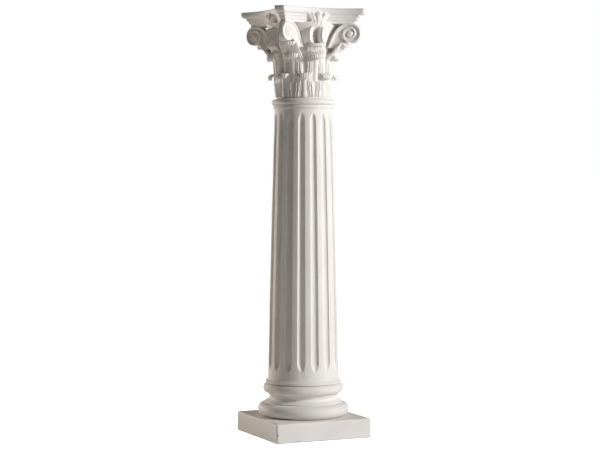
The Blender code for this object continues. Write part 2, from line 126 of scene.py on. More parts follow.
def baked(body: bpy.types.Object) -> bpy.types.Object:
    """Apply every modifier of an object to its mesh.

    Args:
        body: The object to apply them on.

    Returns:
        The same object, with no modifiers left.
    """
    graph = bpy.context.evaluated_depsgraph_get()
    mesh = bpy.data.meshes.new_from_object(body.evaluated_get(graph))
    body.modifiers.clear()
    old = body.data
    body.data = mesh
    bpy.data.meshes.remove(old)
    return body


def triangles_in(body: bpy.types.Object) -> int:
    """Return how many triangles an object's mesh has."""
    return sum(len(polygon.vertices) - 2 for polygon in body.data.polygons)


def thinned(body: bpy.types.Object, triangles: int) -> bpy.types.Object:
    """Take away triangles where the surface is plain, until about the given count is left.

    Args:
        body: The object to thin.
        triangles: How many triangles may be left.

    Returns:
        The same object.
    """
    share = triangles / triangles_in(body)
    if share < 1.0:
        thinning = body.modifiers.new("thinned", "DECIMATE")
        thinning.ratio = share
        baked(body)
    return body


@dataclass
class Plinth:
    """Square slab with softened edges and a few chips."""

    side: float = 0.220
    height: float = 0.042
    edge_radius: float = 0.0030
    long_ripple: float = 0.0006
    short_ripple: float = 0.0004
    cell: float = 0.0022
    triangles: int = 16000
    # A knock is its place, its reach and its depth.
    knocks: tuple[tuple[tuple[float, float, float], float, float], ...] = (
        ((-0.110, -0.110, 0.0195), 0.0034, 0.0026),
        ((-0.0630, -0.110, 0.0), 0.0040, 0.0026),
        ((-0.110, 0.052, 0.042), 0.0046, 0.0016),
        ((0.071, -0.110, 0.042), 0.0042, 0.0012),
        ((0.110, 0.034, 0.0), 0.0050, 0.0026),
        ((0.110, 0.110, 0.040), 0.0060, 0.0028),
        ((-0.040, 0.110, 0.042), 0.0048, 0.0020),
    )

    def build(self) -> bpy.types.Object:
        """Build the slab as a fine closed mesh and knock its edges.

        Returns:
            The slab as an object.
        """
        half = self.side / 2.0
        mesh = bpy.data.meshes.new("plinth")
        work = bmesh.new()
        bmesh.ops.create_cube(work, size=1.0)
        bmesh.ops.scale(work, vec=(self.side, self.side, self.height), verts=work.verts)
        bmesh.ops.translate(work, vec=(0.0, 0.0, self.height / 2.0), verts=work.verts)
        for axis, length in ((Vector((1, 0, 0)), self.side), (Vector((0, 1, 0)), self.side),
                             (Vector((0, 0, 1)), self.height)):
            cuts = round(length / self.cell)
            for cut in range(1, cuts):
                low = Vector((-half, -half, 0.0))
                bmesh.ops.bisect_plane(work, geom=work.verts[:] + work.edges[:] + work.faces[:],
                                       plane_co=low + axis * (length * cut / cuts), plane_no=axis)
        work.to_mesh(mesh)
        work.free()
        slab = linked("plinth", mesh)
        points = np.empty(len(mesh.vertices) * 3)
        mesh.vertices.foreach_get("co", points)
        points = self.knocked(self.softened(points.reshape(-1, 3)))
        mesh.vertices.foreach_set("co", points.ravel())
        mesh.update()
        return thinned(slab, self.triangles)

    def softened(self, points: np.ndarray) -> np.ndarray:
        """Round the edges and corners of the slab.

        Args:
            points: Points on the sharp slab, as (count, 3).

        Returns:
            The same points on the softened slab.
        """
        half = np.array([self.side / 2.0, self.side / 2.0, self.height / 2.0])
        middle = np.array([0.0, 0.0, self.height / 2.0])
        away = points - middle
        wander = (self.long_ripple * np.sin(points @ np.array([37.0, 29.0, 61.0]))
                  + self.short_ripple * np.sin(points @ np.array([-83.0, 71.0, 113.0])))
        radius = (self.edge_radius + wander)[:, None]
        core = np.clip(away, -(half - radius), half - radius)
        out = away - core
        length = np.linalg.norm(out, axis=1, keepdims=True)
        return middle + core + out / np.maximum(length, 1e-9) * np.minimum(length, radius)

    def knocked(self, points: np.ndarray) -> np.ndarray:
        """Press the chips into the slab's edges.

        Args:
            points: Points on the softened slab, as (count, 3).

        Returns:
            The points with the chips taken out.
        """
        middle = np.array([0.0, 0.0, self.height / 2.0])
        for place, reach, depth in self.knocks:
            gap = np.linalg.norm((points - np.array(place)) * np.array([1.0, 1.0, 1.3]), axis=1)
            inward = middle - np.array(place)
            inward = inward / np.linalg.norm(inward * np.array([1.0, 1.0, 2.5]))
            points = points + inward * (depth * np.clip(1.4 - gap / reach, 0.0, 1.0))[:, None]
        return points


@dataclass
class Column:
    """Base mouldings, fluted tapering shaft and neck mouldings, turned round one axis."""

    foot: float = 0.042
    lower_torus_height: float = 0.029
    lower_torus_reach: float = 0.0985
    lower_fillet_height: float = 0.003
    lower_fillet_radius: float = 0.0835
    scotia_height: float = 0.014
    scotia_radius: float = 0.0735
    upper_fillet_height: float = 0.003
    upper_fillet_radius: float = 0.0755
    upper_torus_height: float = 0.023
    upper_torus_reach: float = 0.0868
    top_fillet_height: float = 0.005
    top_fillet_radius: float = 0.0815
    shaft_foot_radius: float = 0.0765
    shaft_neck_radius: float = 0.0618
    swell: float = 0.0009
    foot_flare: float = 0.0035
    foot_flare_height: float = 0.008
    neck_flare: float = 0.0015
    neck_flare_height: float = 0.006
    flute_count: int = 16
    flute_arc: float = math.radians(13.4)
    flute_depth: float = 0.0055
    flute_turn: float = math.radians(-4.9)
    flute_start: float = 0.021
    flute_end: float = 0.009
    flute_taper: float = 0.024
    neck_fillet_height: float = 0.0065
    neck_fillet_radius: float = 0.0650
    bead_height: float = 0.013
    bead_reach: float = 0.0685
    collar_height: float = 0.0085
    collar_radius: float = 0.0564
    soft: float = 0.0006
    sag: float = 0.00012
    columns_per_flute: int = 16
    triangles: int = 42000

    @property
    def base_top(self) -> float:
        """Return the level where the shaft leaves the base."""
        return (self.foot + self.lower_torus_height + self.lower_fillet_height + self.scotia_height
                + self.upper_fillet_height + self.upper_torus_height + self.top_fillet_height)

    @property
    def neck_level(self) -> float:
        """Return the level where the shaft meets the neck fillet."""
        return CAPITAL_FOOT - self.bead_height - self.neck_fillet_height

    def half_round(self, reach: float, foot: float, height: float, steps: int) -> list[tuple[float, float]]:
        """Return a half-round moulding.

        Args:
            reach: Its greatest radius.
            foot: The level of its lower edge.
            height: Its height.
            steps: How many facets it has.

        Returns:
            Its (radius, level) points, bottom to top.
        """
        bulge = height / 2.0
        angles = np.linspace(-0.5 * math.pi, 0.5 * math.pi, steps + 1)
        return [(reach - bulge + bulge * math.cos(angle), foot + bulge + bulge * math.sin(angle))
                for angle in angles]

    def base_profile(self) -> list[tuple[float, float]]:
        """Return the (radius, level) points of the base mouldings, bottom to top."""
        soft = self.soft
        level = self.foot
        profile = [(self.lower_torus_reach - self.lower_torus_height / 2.0, level - EMBED)]
        profile += self.half_round(self.lower_torus_reach, level, self.lower_torus_height, 18)
        level += self.lower_torus_height
        profile += [(self.lower_fillet_radius + soft, level), (self.lower_fillet_radius, level + soft)]
        level += self.lower_fillet_height
        profile.append((self.lower_fillet_radius, level - soft))
        hollow = (self.lower_fillet_radius + self.upper_fillet_radius) / 2.0 - self.scotia_radius
        for share in np.linspace(0.04, 0.96, 12):
            radius = self.lower_fillet_radius + (self.upper_fillet_radius - self.lower_fillet_radius) * share
            profile.append((radius - hollow * math.sin(math.pi * share), level + self.scotia_height * share))
        level += self.scotia_height
        profile.append((self.upper_fillet_radius, level + soft))
        level += self.upper_fillet_height
        profile += [(self.upper_fillet_radius, level - soft), (self.upper_fillet_radius + soft, level)]
        profile += self.half_round(self.upper_torus_reach, level, self.upper_torus_height, 16)
        level += self.upper_torus_height
        profile += [(self.top_fillet_radius + soft, level), (self.top_fillet_radius, level + soft)]
        level += self.top_fillet_height
        profile += [(self.top_fillet_radius, level - soft), (self.top_fillet_radius - soft, level)]
        return profile

    def neck_profile(self) -> list[tuple[float, float]]:
        """Return the (radius, level) points of the neck mouldings, bottom to top."""
        soft = self.soft
        bead_foot = self.neck_level + self.neck_fillet_height
        profile = [(self.neck_fillet_radius - soft, self.neck_level),
                   (self.neck_fillet_radius, self.neck_level + soft),
                   (self.neck_fillet_radius, bead_foot - soft)]
        profile += self.half_round(self.bead_reach, bead_foot, self.bead_height, 14)[1:]
        profile += [(self.collar_radius + 2.0 * soft, CAPITAL_FOOT + soft),
                    (self.collar_radius, CAPITAL_FOOT + 0.3 * self.collar_height),
                    (self.collar_radius, CAPITAL_FOOT + self.collar_height)]
        return profile

    def shaft_radius(self, level: np.ndarray) -> np.ndarray:
        """Return the shaft's radius over its fillets at each level."""
        share = np.clip((level - self.base_top) / (self.neck_level - self.base_top), 0.0, 1.0)
        radius = self.shaft_foot_radius + (self.shaft_neck_radius - self.shaft_foot_radius) * share
        radius = radius + self.swell * np.sin(math.pi * share)
        above = np.maximum((level - self.base_top) / self.foot_flare_height, 0.0)
        below = np.maximum((self.neck_level - level) / self.neck_flare_height, 0.0)
        radius = radius + self.foot_flare * np.maximum(0.0, 1.0 - above) ** 2
        return radius + self.neck_flare * np.maximum(0.0, 1.0 - below) ** 2

    def flute_depths(self, offset: np.ndarray, level: np.ndarray) -> np.ndarray:
        """Return how deep the flutes cut.

        Args:
            offset: Angles from the middle line of the flute.
            level: Levels along the shaft.

        Returns:
            The depths, in metres.
        """
        low = self.base_top + self.flute_start
        high = self.neck_level - self.flute_end
        opening = np.clip(np.minimum(level - low, high - level) / self.flute_taper, 0.0, 1.0)
        opening = np.sin(0.5 * math.pi * opening)
        across = 2.0 * offset / (self.flute_arc * np.maximum(opening, 1e-6))
        return self.flute_depth * opening * np.sqrt(np.clip(1.0 - across * across, 0.0, 1.0))

    def build(self) -> bpy.types.Object:
        """Turn the mouldings and the fluted shaft as one closed body.

        Returns:
            The column as an object.
        """
        low = self.base_top + self.flute_start
        high = self.neck_level - self.flute_end
        levels = np.concatenate([
            np.linspace(self.base_top, self.base_top + self.foot_flare_height, 6)[1:],
            np.linspace(self.base_top + self.foot_flare_height, low, 4)[1:],
            low + self.flute_taper * np.linspace(0.0, 1.0, 15)[1:] ** 1.5,
            np.linspace(low + self.flute_taper, high - self.flute_taper, 26)[1:-1],
            high - self.flute_taper * np.linspace(1.0, 0.0, 15) ** 1.5,
            np.linspace(self.neck_level - self.neck_flare_height, self.neck_level, 4),
        ])
        half_arc = 0.5 * self.flute_arc
        pitch = 2.0 * math.pi / self.flute_count
        inside = half_arc * np.sin(0.5 * math.pi * np.linspace(-1.0, 1.0, self.columns_per_flute - 3))
        between = np.linspace(half_arc, pitch - half_arc, 5)[1:-1]
        offsets = np.concatenate([inside, between])
        angles = (self.flute_turn + pitch * np.arange(self.flute_count)[:, None] + offsets[None, :]).ravel()
        offsets = np.tile(offsets, self.flute_count)
        offsets = (offsets + 0.5 * pitch) % pitch - 0.5 * pitch
        rows = [(np.full(len(angles), radius), level) for radius, level in self.base_profile()]
        for level in levels:
            radius = self.shaft_radius(np.array(level)) - self.flute_depths(offsets, np.array(level))
            rows.append((radius, float(level)))
        rows += [(np.full(len(angles), radius), level) for radius, level in self.neck_profile()]
        loops = np.empty((len(rows), len(angles), 3))
        for row, (radius, level) in enumerate(rows):
            sag = self.sag * (np.sin(3.0 * angles + 40.0 * level) + np.sin(5.0 * angles - 63.0 * level))
            loops[row, :, 0] = (radius + sag) * np.cos(angles)
            loops[row, :, 1] = (radius + sag) * np.sin(angles)
            loops[row, :, 2] = level
        clay = Clay()
        clay.add_stack(loops)
        return thinned(clay.to_object("column"), self.triangles)


@dataclass
class Abacus:
    """Hollow-sided top slab with its mouldings."""

    height: float = 0.032
    corner_radius: float = 0.141
    corner_half_width: float = 0.0105
    waist: float = 0.0790
    edge: float = 0.0030
    ovolo_height: float = 0.0135
    ovolo_depth: float = 0.0110
    fillet_height: float = 0.0048
    fillet_step: float = 0.0050
    band_height: float = 0.0060
    band_step: float = 0.0050
    side_share: float = 0.48
    side_steps: int = 26
    halvings: int = 40

    def outline(self, corner_inset: float) -> np.ndarray:
        """Return the plan of the slab, with its corners set in by a distance and its sides by their share of it.

        Args:
            corner_inset: How far the cut corners are set in.

        Returns:
            Points as (count, 2), anticlockwise.
        """
        inset = self.side_share * corner_inset
        corner_x = (self.corner_radius - self.corner_half_width) / math.sqrt(2.0)
        corner_y = (self.corner_radius + self.corner_half_width) / math.sqrt(2.0)
        rise = corner_y - self.waist
        sweep = (corner_x ** 2 + rise ** 2) / (2.0 * rise)
        centre = self.waist + sweep
        low, high = 0.0, corner_x
        for _ in range(self.halvings):
            middle = (low + high) / 2.0
            out = centre - math.sqrt((sweep + inset) ** 2 - middle ** 2)
            if (middle + out) / math.sqrt(2.0) < self.corner_radius - corner_inset:
                low = middle
            else:
                high = middle
        reach = math.asin(low / (sweep + inset))
        angles = np.linspace(-reach, reach, self.side_steps + 1)
        side = np.stack([(sweep + inset) * np.sin(angles), -centre + (sweep + inset) * np.cos(angles)], axis=-1)
        plan = []
        for index in range(SIDES):
            turn = 0.5 * math.pi * index
            spin = np.array([[math.cos(turn), -math.sin(turn)], [math.sin(turn), math.cos(turn)]])
            plan.append(side @ spin.T)
        return np.concatenate(plan)

    def profile(self) -> list[tuple[float, float]]:
        """Return the slab's edge as (inset, depth below the top) points, top to bottom."""
        rows = [(self.edge, 0.0), (self.edge * 0.45, 0.0003), (self.edge * 0.12, 0.0011), (0.0, 0.0024)]
        for share in np.linspace(0.0, 1.0, 12):
            angle = 0.5 * math.pi * share
            rows.append((self.ovolo_depth * (1.0 - math.cos(angle)) ** 1.25,
                         0.0024 + (self.ovolo_height - 0.0024) * math.sin(angle) ** 0.9))
        inset, depth = self.ovolo_depth, self.ovolo_height
        rows += [(inset + 0.0003, depth + 0.0004), (inset + 0.0004, depth + self.fillet_height - 0.0006)]
        depth += self.fillet_height
        rows.append((inset + 0.0010, depth))
        inset += self.fillet_step
        rows += [(inset - 0.0003, depth + 0.0012), (inset, depth + 0.0018)]
        depth += self.band_height
        rows += [(inset, depth - 0.0005), (inset + 0.0005, depth)]
        inset += self.band_step
        rows += [(inset - 0.0008, depth + 0.0016), (inset, depth + 0.0030), (inset, self.height)]
        return rows

    def add_to(self, clay: Clay) -> None:
        """Add the slab to the clay of the capital."""
        loops = []
        for inset, depth in reversed(self.profile()):
            plan = self.outline(inset)
            loops.append(np.column_stack([plan, np.full(len(plan), TOTAL_HEIGHT - depth)]))
        clay.add_stack(np.array(loops))


@dataclass
class Bell:
    """Core of the capital, which the leaves stand against."""

    foot_radius: float = 0.0565
    waist_radius: float = 0.0635
    waist_height: float = 0.100
    lip_radius: float = 0.0790
    top: float = TOTAL_HEIGHT - 0.032
    columns: int = 96
    rows: int = 30

    def radius_at(self, height: float) -> float:
        """Return the bell's radius at a height above the capital's foot."""
        if height < self.waist_height:
            return self.foot_radius + (self.waist_radius - self.foot_radius) * max(height, 0.0) / self.waist_height
        share = min((height - self.waist_height) / (self.top - CAPITAL_FOOT - self.waist_height), 1.0)
        return self.waist_radius + (self.lip_radius - self.waist_radius) * share ** 2

    def add_to(self, clay: Clay) -> None:
        """Add the bell to the clay of the capital."""
        angles = np.linspace(0.0, 2.0 * math.pi, self.columns, endpoint=False)
        loops = []
        for level in np.linspace(CAPITAL_FOOT - EMBED, self.top + EMBED, self.rows):
            radius = self.radius_at(level - CAPITAL_FOOT)
            loops.append(np.column_stack([radius * np.cos(angles), radius * np.sin(angles),
                                          np.full(len(angles), level)]))
        clay.add_stack(np.array(loops))


@dataclass(frozen=True)
class Finger:
    """One raised loop of a leaf. Places across run from 0 at the midrib to 1 at the leaf's edge."""

    middle: float
    half_width: float
    low: float
    high: float
    lean: float = 0.0
    rim: float = 0.0017
    hollow: float = 0.0016

    def relief(self, across: np.ndarray, along: np.ndarray) -> np.ndarray:
        """Return the height of the loop over the blade.

        Args:
            across: Places across the leaf, from -1 to 1. Both halves get the loop.
            along: Places along the leaf, from 0 at its root to 1 at its crown.

        Returns:
            Heights in metres, below 0 in the loop's hollow.
        """
        share = (along - self.low) / (self.high - self.low)
        held = np.clip(share, 0.0, 1.0)
        width = self.half_width * np.sqrt(np.clip(1.0 - held ** 2.4, 0.0, 1.0)) * (0.45 + 0.55 * np.sqrt(held))
        gap = np.abs(np.abs(across) - self.middle - self.lean * held) / np.maximum(width, 0.012)
        shown = smooth_step(-0.02, 0.10, share) * (1.0 - smooth_step(0.96, 1.06, share))
        rim = self.rim * hump(gap, 0.74, 0.26)
        sunk = self.hollow * (1.0 - smooth_step(0.15, 0.62, gap))
        return shown * (rim - sunk)


@dataclass
class LeafRow:
    """A row of leaves round the bell. Each blade stands up from its root and rolls outward over its crown."""

    count: int
    first: float
    root: tuple[float, float]
    crown: tuple[float, float]
    roll: float
    turn: float
    fingers: tuple[Finger, ...]
    narrowing: float = 0.30
    waist_from: float = 0.80
    waist: float = 0.94
    thickness: float = 0.005
    midrib: float = 0.0019
    midrib_width: float = 0.20
    side_groove: float = 0.0011
    side_groove_place: float = 0.27
    side_groove_width: float = 0.045
    edge_drop: float = 0.0045
    comb: int = 7
    comb_depth: float = 0.0016
    scallop: float = 0.12
    gap: float = 0.0009
    row_size: int = 8
    columns: int = 60
    rows: int = 84

    def outline(self, along: np.ndarray, curl: np.ndarray) -> np.ndarray:
        """Return the leaf's half width as a share of its full half width.

        Args:
            along: Places along the blade, from 0 at the root to 1 at the crown.
            curl: Places along the roll, from 0 at the crown to 1 at the tip.

        Returns:
            The shares.
        """
        blade = 1.0 - 0.07 * smooth_step(0.20, 0.34, along)
        narrow = smooth_step(self.waist_from - 0.14, self.waist_from + 0.02, along)
        blade = blade + (self.waist - blade) * narrow
        flare = 0.90 * (1.0 - self.narrowing * curl ** 2)
        return np.where(curl > 0.0, self.waist + (flare - self.waist) * smooth_step(0.0, 0.12, curl)
                        * (flare > self.waist) + (flare - self.waist) * (flare <= self.waist), blade)

    def blade_relief(self, across: np.ndarray, along: np.ndarray) -> np.ndarray:
        """Return the carving's height on the side that faces out below the roll."""
        ribbed = self.midrib * hump(across, 0.0, self.midrib_width)
        beside = hump(np.abs(across), self.side_groove_place, self.side_groove_width)
        ribbed = ribbed - self.side_groove * beside * smooth_step(0.0, 0.2, along)
        for finger in self.fingers:
            ribbed = ribbed + finger.relief(across, along)
        fade = 1.0 - smooth_step(0.97, 1.04, along)
        return ribbed * fade

    def roll_relief(self, across: np.ndarray, curl: np.ndarray) -> np.ndarray:
        """Return the carving's height on the side that faces out over the roll."""
        flutes = -self.comb_depth * (0.5 + 0.5 * np.cos(math.pi * (self.comb * across + 1.0))) ** 1.5
        return flutes * smooth_step(0.10, 0.35, curl)

    def leaf(self, azimuth: float) -> np.ndarray:
        """Return the loops of one leaf.

        Args:
            azimuth: The direction the leaf faces.

        Returns:
            Points as (rows, columns, 3).
        """
        lean = math.atan2(self.crown[0] - self.root[0], self.crown[1] - self.root[1])
        body = math.dist(self.root, self.crown)
        across = np.linspace(-1.0, 1.0, self.columns)
        lobes = 0.5 + 0.5 * np.cos(math.pi * (self.comb * across + 1.0))
        full = body + self.roll * self.turn * (1.0 - self.scallop * np.sqrt(lobes))
        share = np.linspace(0.0, 1.0, self.rows)
        length = share[:, None] * full[None, :]
        along = length / body
        curl = np.clip((length - body) / (self.roll * self.turn), 0.0, 1.0)
        angle = lean + self.turn * curl
        straight = np.clip(along, 0.0, 1.0)
        radius = self.root[0] + (self.crown[0] - self.root[0]) * straight
        height = self.root[1] + (self.crown[1] - self.root[1]) * straight
        radius = radius + self.roll * (math.cos(lean) - np.cos(angle))
        height = height + self.roll * (np.sin(angle) - math.sin(lean))
        half = (math.pi / self.row_size) * self.root[0] - 0.5 * self.gap
        width = half * self.outline(along, curl)
        place = azimuth + across[None, :] * width / np.maximum(radius, self.root[0])
        edge = np.abs(across[None, :]) ** 8
        drop = self.edge_drop * across[None, :] ** 2 * np.minimum(1.0, 2.0 * curl)
        taper = 1.0 - 0.35 * smooth_step(0.7, 1.0, curl)
        half_thick = 0.5 * self.thickness * taper * (1.0 - 0.45 * edge)
        sides = []
        for facing in (1.0, -1.0):
            if facing > 0.0:
                carving = self.blade_relief(np.broadcast_to(across, along.shape), along)
            else:
                carving = self.roll_relief(np.broadcast_to(across, along.shape), curl)
            offset = facing * (half_thick + carving)
            out = radius - drop + offset * np.cos(angle)
            up = CAPITAL_FOOT + height - offset * np.sin(angle)
            sides.append(np.stack([out * np.cos(place), out * np.sin(place), up], axis=-1))
        return np.concatenate([sides[0], sides[1][:, ::-1]], axis=1)

    def add_to(self, clay: Clay) -> None:
        """Add every leaf of the row to the clay of the capital."""
        for index in range(self.count):
            clay.add_stack(self.leaf(2.0 * math.pi * (index + self.first) / self.count))


@dataclass
class CornerScroll:
    """Wedge that stands on each diagonal, with a spiral channel on both of its faces.

    Seen from the side, its points are (distance from the axis, height above the capital's foot).
    """

    eye: tuple[float, float] = (0.1105, 0.1375)
    top_radius: float = 0.0225
    inner_radius: float = 0.0175
    outer_share: float = 0.625
    whorl_from: float = -150.0
    whorl_turn: float = 240.0
    stem_root: tuple[float, float] = (0.062, 0.108)
    stem_root_width: float = 0.022
    top_bend: tuple[float, float] = (-0.027, 0.0)
    root_bend: tuple[float, float] = (0.012, 0.032)
    ridge_half_width: float = 0.0052
    flare: float = math.tan(math.radians(17.0))
    channel: float = 0.0040
    rim: float = 0.0017
    ball: float = 0.0062
    steps: int = 90
    rings: int = 40
    # Radius of the spiral's rim at each quarter turn, clockwise from the top
    rim_radii: tuple[float, ...] = (0.0212, 0.0203, 0.0180, 0.0152, 0.0126, 0.0094, 0.0070, 0.0052, 0.0040)

    def half_width(self, distance: np.ndarray) -> np.ndarray:
        """Return half the wedge's thickness, which grows inward from its ridge."""
        ridge = self.eye[0] + self.inner_radius + (self.top_radius - self.inner_radius) * self.outer_share
        return self.ridge_half_width + self.flare * np.maximum(0.0, ridge - distance)

    def outline(self) -> np.ndarray:
        """Return the scroll seen from the side, as (distance, height) points, anticlockwise."""
        eye = np.array(self.eye)
        share = np.linspace(0.0, 1.0, self.steps)
        angle = np.radians(self.whorl_from + self.whorl_turn * share)
        radius = self.inner_radius + (self.top_radius - self.inner_radius) * share
        whorl = eye + radius[:, None] * np.stack([np.cos(angle), np.sin(angle)], axis=-1)
        root = np.array(self.stem_root)
        stem = self.curve(whorl[-1], whorl[-1] + np.array(self.top_bend), root + np.array(self.root_bend), root,
                          self.steps // 3)[1:]
        foot = np.linspace(root, root + np.array([self.stem_root_width, 0.0]), 10)[1:]
        back = np.linspace(foot[-1], whorl[0], 10)[1:-1]
        return np.concatenate([whorl, stem, foot, back])

    def curve(self, start: np.ndarray, first: np.ndarray, second: np.ndarray, end: np.ndarray,
              steps: int) -> np.ndarray:
        """Return points along a bend that four points steer."""
        share = np.linspace(0.0, 1.0, steps)[:, None]
        rest = 1.0 - share
        return (start * rest ** 3 + first * 3.0 * rest ** 2 * share + second * 3.0 * rest * share ** 2
                + end * share ** 3)

    def sunk(self, distance: np.ndarray, height: np.ndarray) -> np.ndarray:
        """Return how deep the face is carved.

        Args:
            distance: Distances of points from the column's axis.
            height: Their heights above the capital's foot.

        Returns:
            The depths in metres.
        """
        across, up = distance - self.eye[0], height - self.eye[1]
        reach = np.hypot(across, up)
        clockwise = np.degrees(np.arctan2(across, up)) % 360.0
        knots = 90.0 * np.arange(len(self.rim_radii))
        outer = np.interp(clockwise, knots, self.rim_radii)
        inner = np.interp(clockwise + 360.0, knots, self.rim_radii)
        in_stem = (clockwise > 225.0) & (reach > outer)
        share = np.clip((reach - inner) / (outer - inner), 0.0, 1.0)
        depth = self.channel * (1.0 - 0.80 * share ** 1.5)
        depth = np.where(reach < inner, 0.9 * self.channel, depth)
        depth = np.where(in_stem, self.channel, depth)
        for ridge in (outer, inner):
            crest = hump(reach, ridge, self.rim * 0.8)
            depth = depth * (1.0 - crest) + 0.0002 * crest
        top = np.array([self.eye[0], self.eye[1] + self.top_radius - self.rim])
        root = np.array(self.stem_root) + np.array([0.004, 0.0])
        path = self.curve(top, top + np.array(self.top_bend), root + np.array(self.root_bend), root, 60)
        gap = np.full(distance.shape, 1.0)
        for point in path:
            gap = np.minimum(gap, np.hypot(distance - point[0], height - point[1]))
        crest = hump(gap, 0.0, self.rim * 1.6)
        depth = depth * (1.0 - crest)
        beyond = (clockwise <= 225.0) & (reach > outer)
        depth = np.where(beyond, np.minimum(depth, 0.0006), depth)
        dome = np.sqrt(np.clip(1.0 - (reach / self.ball) ** 2, 0.0, 1.0))
        return np.where(reach < self.ball, depth * (1.0 - dome) - 0.0004 * dome, depth)

    def add_to(self, clay: Clay) -> None:
        """Add the four scrolls to the clay of the capital."""
        outline = self.outline()
        eye = np.array(self.eye)
        shares = np.concatenate([[1.0, 0.985, 0.96], np.linspace(0.94, 0.01, self.rings)])
        for corner in range(SIDES):
            angle = (corner + 0.5) * 0.5 * math.pi
            out = np.array([math.cos(angle), math.sin(angle), 0.0])
            side = np.array([-math.sin(angle), math.cos(angle), 0.0])
            layers = []
            for facing in (-1.0, 1.0):
                order = shares[::-1] if facing < 0.0 else shares
                for share in order:
                    ring = eye + (outline - eye) * share
                    depth = self.sunk(ring[:, 0], ring[:, 1])
                    if share == 1.0:
                        depth = np.maximum(depth, 0.0) + 0.0006
                    sideways = facing * (self.half_width(ring[:, 0]) - depth)
                    layers.append(out * ring[:, :1] + side * sideways[:, None]
                                  + np.array([0.0, 0.0, 1.0]) * (CAPITAL_FOOT + ring[:, 1:]))
            clay.add_stack(np.array(layers))


@dataclass(frozen=True)
class InnerScroll:
    """Drum under the middle of each side, with a spiral on its face, which is turned to the right.

    Places along the drum are shares of its length, from its face back.
    """

    offset: float
    distance: float
    turn: float
    length: float
    height: float = 0.1355
    radius: float = 0.0165
    tail: float = 0.0040
    tail_angle: float = math.radians(-65.0)
    groove: float = 0.0019
    pitch: float = 0.0054
    wall_ridge: float = 0.0011
    ridge_place: float = 0.62
    ridge_width: float = 0.0016
    pinch: float = 0.0012
    pinch_place: float = 0.40
    pinch_width: float = 0.006
    dish: float = 0.0008
    columns: int = 96

    def rings(self) -> list[tuple[float, float]]:
        """Return the drum's rings as (share of its radius, depth behind its face), from the eye to the back."""
        face = [(float(share), 0.0) for share in np.linspace(0.02, 0.95, 26)]
        edge = [(0.985, 0.0004), (1.0, 0.0013)]
        wall = [(1.0, float(depth)) for depth in np.linspace(0.0025, self.length, 22)]
        return face + edge + wall

    def drum(self, side: int) -> np.ndarray:
        """Return the loops of one drum.

        Args:
            side: Which side of the capital it is on, counted from the one that faces -Y.

        Returns:
            Points as (rows, columns, 3).
        """
        facing = np.array([math.sin(self.turn), -math.cos(self.turn), 0.0])
        along = np.array([-math.cos(self.turn), -math.sin(self.turn), 0.0])
        up = np.array([0.0, 0.0, 1.0])
        eye = np.array([self.offset, -self.distance, CAPITAL_FOOT + self.height])
        angles = np.linspace(0.0, 2.0 * math.pi, self.columns, endpoint=False)
        tail = np.maximum(0.0, np.cos(angles - self.tail_angle)) ** 3
        spin = 0.5 * math.pi * side
        turn = np.array([[math.cos(spin), -math.sin(spin), 0.0], [math.sin(spin), math.cos(spin), 0.0],
                         [0.0, 0.0, 1.0]])
        loops = []
        for share, depth in self.rings():
            reach = share * (self.radius + self.tail * tail)
            behind = np.full(len(angles), depth)
            if depth == 0.0:
                phase = reach / self.pitch + angles / (2.0 * math.pi)
                behind = self.groove * (0.5 + 0.5 * np.cos(2.0 * math.pi * phase)) ** 0.8
                behind = behind * smooth_step(1.0, 0.86, np.array(share)) + self.dish * (1.0 - share)
            else:
                from_ridge = (depth - self.ridge_place * self.length) / self.ridge_width
                from_pinch = (depth - self.pinch_place * self.length) / self.pinch_width
                reach = reach + self.wall_ridge * math.exp(-from_ridge ** 2)
                reach = reach - self.pinch * math.exp(-from_pinch ** 2)
            points = (eye + along * (reach * np.cos(angles))[:, None] + up * (reach * np.sin(angles))[:, None]
                      - facing * behind[:, None])
            loops.append(points @ turn.T)
        return np.array(loops)

    def add_to(self, clay: Clay) -> None:
        """Add the drums of the four sides to the clay of the capital."""
        for side in range(SIDES):
            clay.add_stack(self.drum(side))


